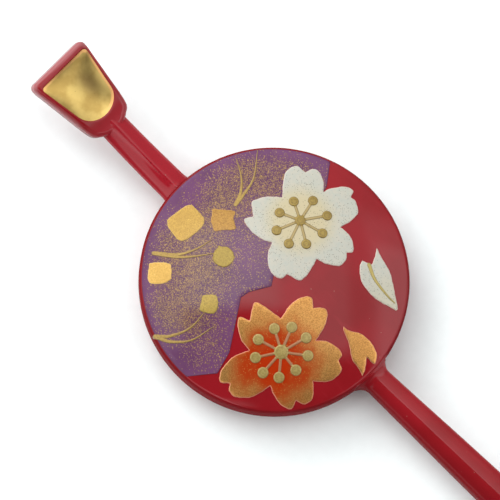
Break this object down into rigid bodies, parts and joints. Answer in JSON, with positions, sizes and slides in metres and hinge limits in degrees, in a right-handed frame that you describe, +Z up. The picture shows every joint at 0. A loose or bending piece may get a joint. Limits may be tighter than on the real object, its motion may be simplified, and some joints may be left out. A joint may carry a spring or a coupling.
{
  "type": "kanzashi hairpin",
  "caption": "One-legged lacquered hairpin: a scoop head with a gilt hollow, a domed round plate with raised painted blossoms, and a long tapering pin.",
  "frame": {"origin": "middle of the round plate's flat back", "axes": "+X along the stick to the pin's tip, +Z up out of the painted front, the pin lying level above the surface that the flat back rests on"},
  "size_m": [0.1652, 0.038, 0.0096],
  "materials": {
    "red_lacquer": "polished red lacquer over carved wood",
    "gilding": "satin gilding, brushed on and burnished",
    "purple_lacquer": "purple lacquer sprinkled with gold dust, polished flush",
    "pearl_white": "raised pearl white lacquer",
    "orange_gold": "raised orange lacquer fading to gold dust",
    "stamen_gold": "raised soft gold line work",
    "gold_leaf": "laid gold leaf, faintly grained",
    "grass_gold": "sprinkled gold brush strokes"
  },
  "bodies": {
    "root": {"disc": "red_lacquer", "stem": "red_lacquer", "pin": "red_lacquer", "gilt_dish": "gilding", "purple_field": "purple_lacquer", "white_blossom": "pearl_white", "white_stamens": "stamen_gold", "orange_blossom": "orange_gold", "orange_stamens": "stamen_gold", "white_petal": "pearl_white", "petal_vein": "stamen_gold", "orange_petal": "orange_gold", "gold_leaf_1": "gold_leaf", "gold_leaf_2": "gold_leaf", "gold_leaf_3": "gold_leaf", "gold_leaf_4": "gold_leaf", "gold_dot": "gold_leaf", "grass_spray_1": "grass_gold", "grass_spray_2": "grass_gold", "grass_spray_3": "grass_gold"}
  },
  "joints": []
}
